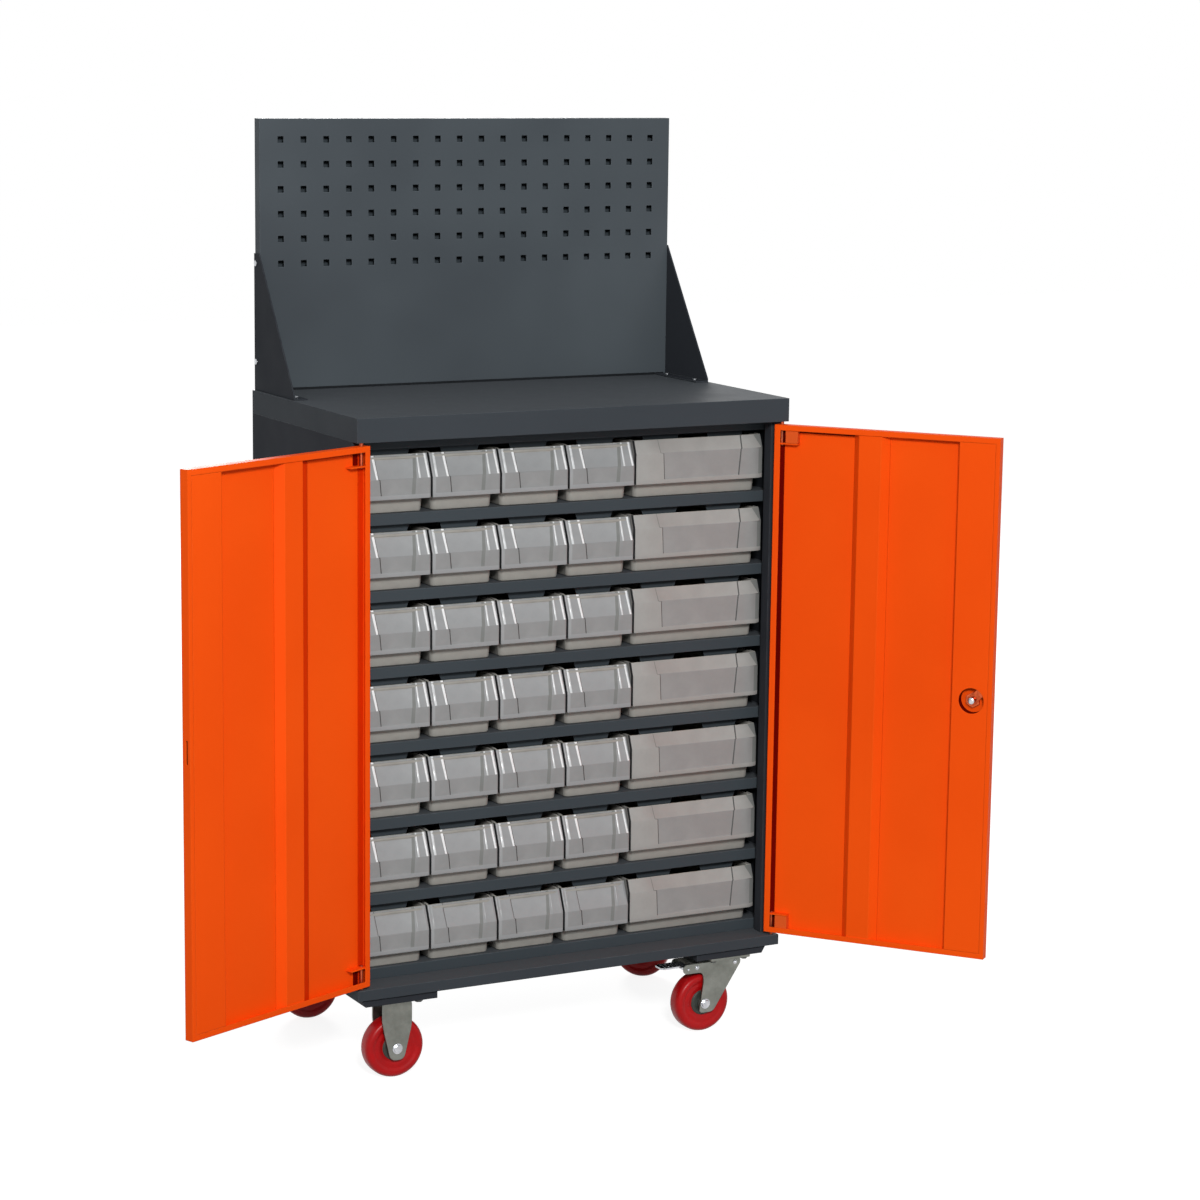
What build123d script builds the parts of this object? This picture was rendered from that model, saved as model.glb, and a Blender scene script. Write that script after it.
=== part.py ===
from build123d import *
import os
from math import cos, radians, sin, sqrt

os.makedirs("parts", exist_ok=True)

# Mobile parts cabinet: origin on the floor under the middle of the worktop,
# X to the right, Y to the back, Z up, all sizes in millimetres.

# Overall and carcass
body_w = 728
body_d = 406
sheet = 2
thin_sheet = 1.5
seat_gap = 0.3
move_gap = 0.5

# Casters, floor upwards
wheel_d = 95
wheel_w = 30
tyre_round = 5
hub_d = 30
web_w = 24
web_d = 62
axle_d = 8
axle_head_d = 13
axle_head_h = 4
run_fit = 0.08
fork_side_gap = 2.5
fork_t = 3
caster_h = 124.5
caster_inset = 39
fixed_inset = 74
swivel_inset = 83
swivel_trail = 36
rear_swivel_turn = 135
leg_top_w = 48
leg_tip_w = 22
leg_tip_drop = 18
swivel_tip_drop = 14.4
leg_straight_z = 84
plate_t = 4
plate_x = 72
plate_y = 76
race_d = 54
race_t = 4.5
king_d = 12
king_head_d = 20
king_head_h = 5
crown_x = 27
crown_edge = 6
arm_x = 76
arm_t = 16
brake_pin_d = 4
brake_hub_d = 10
pedal_len = 44
pedal_w = 28
pedal_t = 3
channel_w = 125
channel_h = 12
channel_slope = 7
channel_shift = 4.5
channel_inset = 5
channel_t = 3

# Base pan, shelves and bins
base_h = 16
base_overhang = 4
return_w = 15
lip_h = 16.5
lip_inset = 46
rows = 7
top_row_spare = 2.1
units = 6
small_bins = 4
comb_back = 16
comb_drop = 20
tab_drop = 12
tab_w = 64
tab_angle = 70
bin_side_gap = 1.7
bin_front_inset = 35
bin_gap = 2
bin_wall = 2.2
bin_depth = 300
bin_head_room = 4.3
bin_ear_step = 11
bin_ear_reach = 52
bin_ear_slope = 22
bin_foot_step = 18.1
bin_draft = 3.4
front_low = 22
small_face_h = 35
small_lean = 15
small_rim_drop = 4
wide_face_h = 19.5
wide_lean = 8
wide_rim_drop = 1.5
step_back = 12
body_h = 821.5
post_w = 20
post_return = 20

# Worktop and perforated panel
top_h = 36
panel_inset = 6
panel_h = 418
panel_d = 19
hole_pitch = 38
hole_size = 10
hole_cols = 18
hole_rows = 6
hole_top = 32
back_sheet_t = 1
gusset_h = 212
gusset_len = 140
gusset_nose = 6
gusset_t = 2
foot_w = 20
screw_d = 4
screw_head_d = 9
screw_head_h = 2.4
screw_len = 7
screw_fit = 0.05
foot_screw_front = 23
foot_screw_back = 25
side_screw_low = 45
side_screw_high = 197

# Doors, built closed and then swung open about their pins
door_gap = 1
door_t = 15
door_clear = 5
door_top_clear = 4.5
pin_inset = 8.7
pin_d = 6
pin_to_face = 5.3
pin_grip = 3
pin_fit = 0.05
pin_len = 40
flange_side = 9.5
flange_end = 8.5
flange_free = 7
edge_box_w = 64
hat_foot = 127
hat_w = 58
hat_slope = 11
bracket_len = 36
bracket_z = 29.5
left_open = 157
right_open = 128.5

# Lock on the right door
lock_inset = 33
lock_window_d = 40
barrel_d = 16
barrel_head_d = 21
barrel_head_t = 1.5
nut_w = 21
nut_t = 5
cam_len = 41
cam_w = 14
cam_t = 2
cam_boss_d = 11
cam_depth = 8
cam_rest = 45

# Levels and places worked out from the sizes above
half_w = body_w / 2
front_y = -body_d / 2
back_y = body_d / 2
inner_w = body_w - 2 * sheet
axle_z = wheel_d / 2
channel_top = caster_h + channel_h
base_top = channel_top + base_h
shelf_1_top = base_top + lip_h
shelf_pitch = (body_h - lip_h + top_row_spare) / rows
body_top = base_top + body_h
worktop_top = body_top + top_h
caster_ys = (front_y + caster_inset, back_y - caster_inset)
fixed_x = fixed_inset - half_w
swivel_x = half_w - swivel_inset
leg_in = wheel_w / 2 + fork_side_gap
leg_out = leg_in + fork_t
crown_top = caster_h - plate_t - race_t - seat_gap
wheel_x = swivel_x - swivel_trail
brake_x = swivel_x - arm_x + brake_hub_d / 2 + fork_t
brake_z = crown_top - fork_t - brake_hub_d / 2 - move_gap
lip_y = front_y + lip_inset
comb_y = lip_y + comb_back
bin_unit = (body_w - 2 * post_w - 2 * bin_side_gap) / units
bin_front_y = front_y + bin_front_inset
bin_ear_h = shelf_pitch - comb_drop - bin_head_room
bin_h = bin_ear_h - bin_ear_step
small_front_h = bin_ear_h - small_rim_drop
wide_front_h = bin_ear_h - wide_rim_drop
panel_w = body_w - 2 * panel_inset
panel_y = back_y - panel_d
pin_y = front_y + pin_to_face
pin_x = half_w - pin_inset
door_w = half_w - door_gap
door_low = base_top + door_clear
door_high = body_top - door_top_clear
door_h = door_high - door_low
door_in_y = front_y + door_t
post_y = pin_y + sqrt(pin_inset ** 2 + (door_t - pin_to_face) ** 2) + move_gap
lock_s = door_w - lock_inset
lock_z = (door_low + door_high) / 2
skin_in_y = front_y + thin_sheet
side_screw_y = panel_y + panel_d / 2
foot_x = panel_w / 2 - foot_w / 2


def slab(x, y, z, mode=Mode.ADD):
    """A box given by its (low, high) pair along each axis."""
    with Locations(((x[0] + x[1]) / 2, (y[0] + y[1]) / 2, (z[0] + z[1]) / 2)):
        Box(abs(x[1] - x[0]), abs(y[1] - y[0]), abs(z[1] - z[0]), mode=mode)


def rod(x, y, z, radius, length, direction, mode=Mode.ADD):
    """A round bar that starts at a point and runs along a direction."""
    with BuildSketch(Plane(origin=(x, y, z), z_dir=direction)) as disc:
        Circle(radius)
    extrude(disc.sketch, amount=length, mode=mode)


def mirrored(side, low, high):
    """An X pair given for the right side, turned over for the left one."""
    return (low, high) if side > 0 else (-high, -low)


def finish(part, name):
    part.label = name
    export_step(part, f"parts/{name}.step")


# Side panels with folded front posts, and the back panel between them
with BuildPart() as carcass_panels:
    for side in (-1, 1):
        body_z = (base_top, body_top)
        slab(mirrored(side, half_w - sheet, half_w), (post_y, back_y), body_z)
        slab(mirrored(side, half_w - post_w, half_w), (post_y, post_y + sheet), body_z)
        slab(mirrored(side, half_w - post_w, half_w - post_w + sheet), (post_y, post_y + post_return), body_z)
    back_half = inner_w / 2 - seat_gap
    slab((-back_half, back_half), (back_y - sheet, back_y), (base_top, body_top))
finish(carcass_panels.part, "carcass_panels")


# Base pan with a closed top, skirts, an inward return and the two pin holes
with BuildPart() as base_pan:
    base_y = (front_y - base_overhang, back_y)
    slab((-half_w, half_w), base_y, (channel_top, base_top))
    slab((-half_w + sheet, half_w - sheet), (base_y[0] + sheet, base_y[1] - sheet),
         (channel_top + sheet, base_top - sheet), Mode.SUBTRACT)
    slab((-half_w + return_w, half_w - return_w), (base_y[0] + return_w, base_y[1] - return_w),
         (channel_top, channel_top + sheet), Mode.SUBTRACT)
    for side in (-1, 1):
        rod(side * pin_x, pin_y, base_top - sheet, pin_d / 2 + pin_fit, sheet, (0, 0, 1), Mode.SUBTRACT)
finish(base_pan.part, "base_pan")


def lipped_shelf(top, depth):
    """A folded shelf with a front lip."""
    half = inner_w / 2
    slab((-half, half), (lip_y, lip_y + depth), (top - sheet, top))
    slab((-half, half), (lip_y, lip_y + sheet), (top - lip_h, top))


def comb_flange(top):
    """A flange under a shelf, cut as a comb whose gaps clear the sides of the bins below."""
    half = inner_w / 2
    slab((-half, half), (comb_y, comb_y + sheet), (top - comb_drop, top))
    with BuildSketch(Plane.XZ.offset(-comb_y - sheet)) as tabs:
        with Locations((0, top - comb_drop - tab_drop / 2)):
            with GridLocations(bin_unit, 0, units, 1):
                Trapezoid(tab_w, tab_drop, tab_angle, rotation=180)
    extrude(tabs.sketch, amount=sheet)


with BuildPart() as shelves:
    for row in range(rows):
        lipped_shelf(shelf_1_top + row * shelf_pitch, back_y - sheet - lip_y)
    for row in range(1, rows):
        comb_flange(shelf_1_top + row * shelf_pitch)
    lipped_shelf(body_top, comb_back + return_w)
    comb_flange(body_top)
finish(shelves.part, "shelves")


# Worktop tray with a deep fascia, a return flange, pin holes and screw holes
with BuildPart() as worktop:
    slab((-half_w, half_w), (front_y, back_y), (body_top, worktop_top))
    slab((-half_w + sheet, half_w - sheet), (front_y + sheet, back_y - sheet),
         (body_top + sheet, worktop_top - sheet), Mode.SUBTRACT)
    slab((-half_w + return_w, half_w - return_w), (front_y + return_w, back_y - return_w),
         (body_top, body_top + sheet), Mode.SUBTRACT)
    for side in (-1, 1):
        rod(side * pin_x, pin_y, body_top, pin_d / 2 + pin_fit, sheet, (0, 0, 1), Mode.SUBTRACT)
        for y in (panel_y - gusset_len + foot_screw_front, panel_y - foot_screw_back):
            rod(side * foot_x, y, worktop_top - sheet, screw_d / 2 + screw_fit, sheet, (0, 0, 1), Mode.SUBTRACT)
finish(worktop.part, "worktop")


# Perforated panel: a pan open to the back, with its side screw holes
with BuildPart() as pegboard:
    half = panel_w / 2
    panel_z = (worktop_top, worktop_top + panel_h)
    slab((-half, half), (panel_y, back_y), panel_z)
    slab((-half + sheet, half - sheet), (panel_y + sheet, back_y),
         (panel_z[0] + sheet, panel_z[1] - sheet), Mode.SUBTRACT)
    holes_z = panel_z[1] - hole_top - (hole_rows - 1) * hole_pitch / 2
    with BuildSketch(Plane.XZ.offset(-panel_y - sheet)):
        with Locations((0, holes_z)):
            with GridLocations(hole_pitch, hole_pitch, hole_cols, hole_rows):
                Rectangle(hole_size, hole_size)
    extrude(amount=sheet, mode=Mode.SUBTRACT)
    for side in (-1, 1):
        for rise in (side_screw_low, side_screw_high):
            rod(side * (half - sheet), side_screw_y, worktop_top + rise, screw_d / 2 + screw_fit, sheet,
                (side, 0, 0), Mode.SUBTRACT)
finish(pegboard.part, "pegboard")

with BuildPart() as pegboard_back:
    inner_half = panel_w / 2 - sheet - seat_gap
    slab((-inner_half, inner_half), (back_y - back_sheet_t, back_y),
         (worktop_top + sheet + seat_gap, worktop_top + panel_h - sheet - seat_gap))
finish(pegboard_back.part, "pegboard_back")


# Triangular side brackets of the panel, each with a foot flange on the worktop
with BuildPart() as gussets:
    for side in (-1, 1):
        gusset_x = mirrored(side, panel_w / 2, panel_w / 2 + gusset_t)
        with BuildSketch(Plane.YZ.offset(gusset_x[0])):
            with BuildLine():
                Polyline((back_y, worktop_top), (back_y, worktop_top + gusset_h),
                         (panel_y, worktop_top + gusset_h), (panel_y - gusset_len, worktop_top + gusset_nose),
                         (panel_y - gusset_len, worktop_top), close=True)
            make_face()
        extrude(amount=gusset_t)
        foot = mirrored(side, panel_w / 2 - foot_w, panel_w / 2)
        slab(foot, (panel_y - gusset_len, panel_y - seat_gap), (worktop_top, worktop_top + gusset_t))
        for y in (panel_y - gusset_len + foot_screw_front, panel_y - foot_screw_back):
            rod(side * foot_x, y, worktop_top, screw_d / 2 + screw_fit, gusset_t, (0, 0, 1), Mode.SUBTRACT)
        for rise in (side_screw_low, side_screw_high):
            rod(side * panel_w / 2, side_screw_y, worktop_top + rise, screw_d / 2 + screw_fit, gusset_t,
                (side, 0, 0), Mode.SUBTRACT)
finish(gussets.part, "gussets")


def screw(x, y, z, outward):
    """A pan-head screw whose head seats on a surface facing outward."""
    head = Vector(x, y, z)
    rod(*head, screw_head_d / 2, screw_head_h, outward)
    rod(*head, screw_d / 2, screw_len, tuple(-Vector(outward)))


with BuildPart() as screws:
    for side in (-1, 1):
        for y in (panel_y - gusset_len + foot_screw_front, panel_y - foot_screw_back):
            screw(side * foot_x, y, worktop_top + gusset_t, (0, 0, 1))
        for rise in (side_screw_low, side_screw_high):
            screw(side * (panel_w / 2 + gusset_t), side_screw_y, worktop_top + rise, (side, 0, 0))
finish(screws.part, "screws")


# Caster channels that run from front to back under the base pan
def channel(centre, outer_side):
    def section(wall):
        inner = centre - outer_side * (channel_w / 2 - wall)
        outer = centre + outer_side * (channel_w / 2 - wall)
        Polyline((inner, channel_top), (outer, channel_top),
                 (outer - outer_side * channel_slope, caster_h + wall), (inner, caster_h + wall), close=True)

    channel_y = (front_y + channel_inset - base_overhang, back_y)
    with BuildSketch(Plane.XZ.offset(-channel_y[1])) as outside:
        with BuildLine():
            section(0)
        make_face()
    extrude(outside.sketch, amount=channel_y[1] - channel_y[0])
    with BuildSketch(Plane.XZ.offset(-channel_y[1] + channel_t)) as inside:
        with BuildLine():
            section(channel_t)
        make_face()
    extrude(inside.sketch, amount=channel_y[1] - channel_y[0] - 2 * channel_t, mode=Mode.SUBTRACT)


with BuildPart() as caster_channels:
    channel(fixed_x - channel_shift, -1)
    channel(swivel_x, 1)
finish(caster_channels.part, "caster_channels")


# Fixed forks with their axle bolts on the left, swivel plates with king pins on the right
def leg_pair(centre_y, outline):
    """Two fork legs of one outline, one on each side of the wheel."""
    for leg_y in (centre_y + leg_out, centre_y - leg_in):
        with BuildSketch(Plane.XZ.offset(-leg_y)) as leg:
            with BuildLine():
                Polyline(*outline, close=True)
            make_face()
        extrude(leg.sketch, amount=fork_t)


def axle_bolt(x, y):
    rod(x, y - leg_out - axle_head_h, axle_z, axle_d / 2, 2 * (leg_out + axle_head_h), (0, 1, 0))
    rod(x, y - leg_out - axle_head_h, axle_z, axle_head_d / 2, axle_head_h, (0, 1, 0))
    rod(x, y + leg_out, axle_z, axle_head_d / 2, axle_head_h, (0, 1, 0))


def axle_hole(x, y):
    rod(x, y - leg_out, axle_z, axle_d / 2 + pin_fit, 2 * leg_out, (0, 1, 0), Mode.SUBTRACT)


with BuildPart() as caster_brackets:
    for y in caster_ys:
        leg_pair(y, ((fixed_x - leg_top_w / 2, caster_h), (fixed_x + leg_top_w / 2, caster_h),
                     (fixed_x + leg_top_w / 2, leg_straight_z),
                     (fixed_x + leg_tip_w / 2, axle_z - leg_tip_drop),
                     (fixed_x - leg_tip_w / 2, axle_z - leg_tip_drop),
                     (fixed_x - leg_top_w / 2, leg_straight_z)))
        slab((fixed_x - leg_top_w / 2, fixed_x + leg_top_w / 2), (y - leg_out, y + leg_out),
             (caster_h - fork_t, caster_h))
        axle_hole(fixed_x, y)
        slab((swivel_x - plate_x / 2, swivel_x + plate_x / 2), (y - plate_y / 2, y + plate_y / 2),
             (caster_h - plate_t, caster_h))
        rod(swivel_x, y, caster_h - plate_t - race_t, race_d / 2, race_t, (0, 0, 1))
        king_low = crown_top - fork_t - seat_gap - king_head_h
        rod(swivel_x, y, king_low, king_head_d / 2, king_head_h, (0, 0, 1))
        rod(swivel_x, y, king_low, king_d / 2, caster_h - plate_t - king_low, (0, 0, 1))
    for y in caster_ys:
        axle_bolt(fixed_x, y)
finish(caster_brackets.part, "caster_brackets")


# Swivel forks: crown, swept legs, an arm that carries the brake, and the axle bolt


def swivel_fork(y, with_brake):
    tip_z = axle_z - swivel_tip_drop
    leg_pair(y, ((swivel_x - arm_x, crown_top), (swivel_x + crown_x, crown_top),
                 (swivel_x + crown_x, crown_top - crown_edge), (wheel_x + leg_tip_w / 2 + fork_t, tip_z),
                 (wheel_x - leg_tip_w / 2, tip_z), (wheel_x - fork_t, leg_straight_z),
                 (wheel_x - crown_edge, crown_top - arm_t), (swivel_x - arm_x, crown_top - arm_t)))
    slab((wheel_x - leg_tip_w, swivel_x + crown_x), (y - leg_out, y + leg_out), (crown_top - fork_t, crown_top))
    rod(swivel_x, y, crown_top - fork_t, king_d / 2 + run_fit, fork_t, (0, 0, 1), Mode.SUBTRACT)
    axle_hole(wheel_x, y)
    axle_bolt(wheel_x, y)
    if with_brake:
        rod(brake_x, y - leg_out, brake_z, brake_pin_d / 2, 2 * leg_out, (0, 1, 0))


def swivelled(shape, place):
    """The rear swivel caster stands turned about its king pin."""
    turn = rear_swivel_turn if place == "rear" else 0
    return shape.rotate(Axis((swivel_x, caster_ys[1], 0), (0, 0, 1)), turn)


for place, y in zip(("front", "rear"), caster_ys):
    with BuildPart() as swivel_fork_part:
        swivel_fork(y, place == "front")
    finish(swivelled(swivel_fork_part.part, place), f"swivel_fork_{place}")


# Foot pedal of the brake, on its pin between the legs of the front swivel fork
with BuildPart() as brake_pedal:
    pedal_y = caster_ys[0]
    rod(brake_x, pedal_y - pedal_w / 2, brake_z, brake_hub_d / 2, pedal_w, (0, 1, 0))
    slab((brake_x - pedal_len, brake_x), (pedal_y - pedal_w / 2, pedal_y + pedal_w / 2),
         (brake_z + brake_hub_d / 2 - pedal_t, brake_z + brake_hub_d / 2))
    rod(brake_x, pedal_y - pedal_w / 2, brake_z, brake_pin_d / 2 + run_fit, pedal_w, (0, 1, 0), Mode.SUBTRACT)
finish(brake_pedal.part, "brake_pedal")


# Wheels: a rounded tread on a thin web, with a hub that runs between the legs
def wheel(x, y):
    centre = Plane(origin=(x, y, axle_z))
    hub_half = leg_in - seat_gap
    with BuildSketch(centre) as half_section:
        with Locations(((axle_d / 2 + hub_d / 2) / 2, 0)):
            Rectangle(hub_d / 2 - axle_d / 2, 2 * hub_half)
        with Locations((web_d / 4, 0)):
            Rectangle(web_d / 2, web_w)
        with BuildSketch(mode=Mode.PRIVATE) as tread:
            RectangleRounded(wheel_d / 2 - web_d / 2 + tyre_round, wheel_w, tyre_round)
        with Locations(((wheel_d / 2 + web_d / 2 - tyre_round) / 2, 0)):
            add(tread.sketch)
        with Locations(((axle_d / 2 + run_fit) / 2, 0)):
            Rectangle(axle_d / 2 + run_fit, 2 * wheel_w, mode=Mode.SUBTRACT)
    revolve(half_section.sketch, axis=Axis((x, y, axle_z), (0, 1, 0)))


for place, y in zip(("front", "rear"), caster_ys):
    with BuildPart() as fixed_wheel:
        wheel(fixed_x, y)
    finish(fixed_wheel.part, f"wheel_{place}_left")

    with BuildPart() as swivel_wheel:
        wheel(wheel_x, y)
    finish(swivelled(swivel_wheel.part, place), f"wheel_{place}_right")


# Doors. A door is drawn closed with s, its distance from the hinge edge, then turned open on its pin.
def across(side, s0, s1):
    return mirrored(side, half_w - s1, half_w - s0)


def opened(shape, side, angle):
    pin_axis = Axis((side * pin_x, pin_y, 0), (0, 0, 1))
    return shape.rotate(pin_axis, side * angle)


cam_y = (door_in_y - cam_depth + seat_gap, door_in_y - cam_depth + seat_gap + cam_t)
cam_swing = sqrt(cam_len ** 2 - (door_w - thin_sheet - lock_s) ** 2)


def door_pan(side):
    """Outer skin with four folded walls, narrow returns, pin holes and the slot of the lock."""
    door_z = (door_low, door_high)
    slab(across(side, 0, door_w), (front_y, door_in_y), door_z)
    slab(across(side, thin_sheet, door_w - thin_sheet), (skin_in_y, door_in_y - thin_sheet),
         (door_low + thin_sheet, door_high - thin_sheet), Mode.SUBTRACT)
    slab(across(side, flange_side, door_w - flange_free), (door_in_y - thin_sheet, door_in_y),
         (door_low + flange_end, door_high - flange_end), Mode.SUBTRACT)
    for z in (door_low, door_high - thin_sheet):
        rod(side * pin_x, pin_y, z, pin_d / 2 + pin_fit, thin_sheet, (0, 0, 1), Mode.SUBTRACT)
    slab(across(side, door_w - thin_sheet, door_w), (cam_y[0] - move_gap, cam_y[1] + move_gap),
         (lock_z - cam_w / 2 - move_gap, lock_z + cam_swing + move_gap), Mode.SUBTRACT)


def door_stiffeners(side, with_window):
    """Hat rib, box along the free edge and the two pin brackets."""
    inside_z = (door_low + thin_sheet, door_high - thin_sheet)
    hat_top = door_in_y - thin_sheet
    for lift, mode in ((0, Mode.ADD), (thin_sheet, Mode.SUBTRACT)):
        x0, x1 = across(side, hat_foot + lift, hat_foot + hat_w - lift)
        with BuildSketch(Plane.XY.offset(inside_z[0])) as hat:
            with BuildLine():
                Polyline((x0, skin_in_y), (x1, skin_in_y), (x1 - hat_slope, hat_top - lift),
                         (x0 + hat_slope, hat_top - lift), close=True)
            make_face()
        extrude(hat.sketch, amount=inside_z[1] - inside_z[0], mode=mode)
    box_z = (door_low + flange_end + seat_gap, door_high - flange_end - seat_gap)
    box_s = (door_w - edge_box_w, door_w - flange_free - seat_gap)
    slab(across(side, *box_s), (skin_in_y, door_in_y), box_z)
    slab(across(side, box_s[0] + thin_sheet, box_s[1]), (skin_in_y, door_in_y - thin_sheet), box_z, Mode.SUBTRACT)
    if with_window:
        rod(side * (half_w - lock_s), door_in_y - thin_sheet, lock_z, lock_window_d / 2, thin_sheet,
            (0, 1, 0), Mode.SUBTRACT)
    for z in (door_low + bracket_z, door_high - bracket_z):
        slab(across(side, thin_sheet, thin_sheet + bracket_len), (skin_in_y, hat_top - seat_gap),
             (z - sheet / 2, z + sheet / 2))
        rod(side * pin_x, pin_y, z - sheet / 2, pin_d / 2 + pin_fit, sheet, (0, 0, 1), Mode.SUBTRACT)


def door_pins(side):
    rod(side * pin_x, pin_y, base_top - pin_grip, pin_d / 2, pin_len, (0, 0, 1))
    rod(side * pin_x, pin_y, body_top + pin_grip, pin_d / 2, pin_len, (0, 0, -1))


for hand, side, angle in (("left", -1, left_open), ("right", 1, right_open)):
    with BuildPart() as closed_pan:
        door_pan(side)
        if side > 0:
            rod(half_w - lock_s, front_y, lock_z, barrel_d / 2 + pin_fit, thin_sheet, (0, 1, 0), Mode.SUBTRACT)
    finish(opened(closed_pan.part, side, angle), f"door_{hand}")

    with BuildPart() as closed_stiffeners:
        door_stiffeners(side, side > 0)
    finish(opened(closed_stiffeners.part, side, angle), f"door_{hand}_stiffeners")

    with BuildPart() as pins:
        door_pins(side)
    finish(pins.part, f"door_{hand}_pins")


# Lock barrel with its nut, and the cam that turns behind the free edge of the right door.
# At rest the cam points cam_rest degrees away from straight up, towards the free edge.
lock_x = half_w - lock_s

with BuildPart() as closed_lock:
    rod(lock_x, front_y - barrel_head_t, lock_z, barrel_head_d / 2, barrel_head_t, (0, 1, 0))
    rod(lock_x, front_y - barrel_head_t, lock_z, barrel_d / 2,
        cam_y[0] - seat_gap - front_y + barrel_head_t, (0, 1, 0))
    with BuildSketch(Plane(origin=(lock_x, skin_in_y, lock_z), z_dir=(0, 1, 0))):
        RegularPolygon(nut_w / 2, 6, major_radius=False)
        Circle(barrel_d / 2 + pin_fit, mode=Mode.SUBTRACT)
    extrude(amount=nut_t)
finish(opened(closed_lock.part, 1, right_open), "lock_cylinder")

with BuildPart() as closed_cam:
    cam_across = (-cos(radians(cam_rest)), 0, -sin(radians(cam_rest)))
    with BuildSketch(Plane(origin=(lock_x, cam_y[0], lock_z), x_dir=cam_across, z_dir=(0, 1, 0))):
        Circle(cam_w / 2)
        with Locations((0, (cam_len - cam_w / 2) / 2)):
            Rectangle(cam_w, cam_len - cam_w / 2)
        with Locations((0, cam_len - cam_w / 2)):
            Circle(cam_w / 2)
    extrude(amount=cam_t)
    rod(lock_x, cam_y[1], lock_z, cam_boss_d / 2, door_in_y - cam_y[1] - move_gap, (0, 1, 0))
finish(opened(closed_cam.part, 1, right_open), "lock_cam")


# Bins: a drafted tray whose wider front steps out over the shelf lip and leans back to its top edge
def bin_tray(count, face_h, lean, front_h):
    """A bin as wide as a number of units, with its middle at X = 0 and its underside at Z = 0."""
    front_w = count * bin_unit - bin_gap
    foot_w = front_w - bin_foot_step
    foot_y = bin_front_y + step_back
    rim_y = bin_front_y + lean
    ear_back_y = bin_front_y + bin_ear_reach
    foot_d = bin_front_y + bin_depth - foot_y
    for wall, mode in ((0, Mode.ADD), (bin_wall, Mode.SUBTRACT)):
        with BuildSketch(Plane.XY.offset(wall)) as foot:
            with Locations((0, foot_y + foot_d / 2)):
                Rectangle(foot_w - 2 * wall, foot_d - 2 * wall)
        extrude(foot.sketch, amount=bin_ear_h, taper=-bin_draft, mode=mode)
        if mode is Mode.ADD:
            slab((-front_w, front_w), (foot_y - step_back, bin_front_y + 2 * bin_depth),
                 (bin_ear_h, 2 * bin_ear_h), Mode.SUBTRACT)
            with BuildSketch(Plane.YZ.offset(-front_w)) as above_rim:
                with BuildLine():
                    Polyline((ear_back_y, bin_ear_h + bin_wall), (ear_back_y, bin_ear_h),
                             (ear_back_y + bin_ear_slope, bin_h),
                             (bin_front_y + 2 * bin_depth, bin_h),
                             (bin_front_y + 2 * bin_depth, bin_ear_h + bin_wall), close=True)
                make_face()
            extrude(above_rim.sketch, amount=2 * front_w, mode=Mode.SUBTRACT)
        inside = rim_y + step_back
        with BuildSketch(Plane.YZ.offset(-front_w / 2 + wall)) as front:
            with BuildLine():
                Polyline((bin_front_y + wall, front_low + wall), (bin_front_y + wall, front_h - face_h),
                         (rim_y + wall, front_h + wall), (inside - wall, front_h + wall),
                         (inside - wall, front_low + wall), close=True)
            make_face()
        extrude(front.sketch, amount=front_w - 2 * wall, mode=mode)
    slab((-front_w, front_w), (bin_front_y - step_back, inside), (front_h, 2 * bin_ear_h), Mode.SUBTRACT)


with BuildPart() as small_bin:
    bin_tray(1, small_face_h, small_lean, small_front_h)

with BuildPart() as wide_bin:
    bin_tray(units - small_bins, wide_face_h, wide_lean, wide_front_h)

for row in range(rows):
    floor_z = shelf_1_top + (rows - 1 - row) * shelf_pitch + seat_gap
    for column in range(small_bins + 1):
        wide = column == small_bins
        first = -units * bin_unit / 2 + column * bin_unit
        centre = first + (units - small_bins) * bin_unit / 2 if wide else first + bin_unit / 2
        source = wide_bin if wide else small_bin
        with BuildPart() as placed_bin:
            with Locations((centre, 0, floor_z)):
                add(source.part)
        finish(placed_bin.part, f"bin_{row + 1}_{column + 1}")
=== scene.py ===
import bpy
from math import cos, sin, pi, radians, tan
from mathutils import Matrix, Vector


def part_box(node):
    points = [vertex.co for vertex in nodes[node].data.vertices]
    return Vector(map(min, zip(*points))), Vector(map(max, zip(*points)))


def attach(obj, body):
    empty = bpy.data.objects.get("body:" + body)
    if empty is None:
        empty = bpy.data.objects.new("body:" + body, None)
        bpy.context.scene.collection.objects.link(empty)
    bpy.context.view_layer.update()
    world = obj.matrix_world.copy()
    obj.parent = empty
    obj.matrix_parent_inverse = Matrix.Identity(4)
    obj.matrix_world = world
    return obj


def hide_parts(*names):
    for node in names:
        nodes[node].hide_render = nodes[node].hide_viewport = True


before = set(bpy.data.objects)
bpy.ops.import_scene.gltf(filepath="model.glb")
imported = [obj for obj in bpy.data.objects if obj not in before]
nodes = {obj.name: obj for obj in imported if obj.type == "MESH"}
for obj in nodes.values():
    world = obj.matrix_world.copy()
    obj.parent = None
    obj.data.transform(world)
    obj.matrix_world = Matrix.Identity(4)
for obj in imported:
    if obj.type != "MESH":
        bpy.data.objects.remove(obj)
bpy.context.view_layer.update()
MM = 0.001

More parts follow.
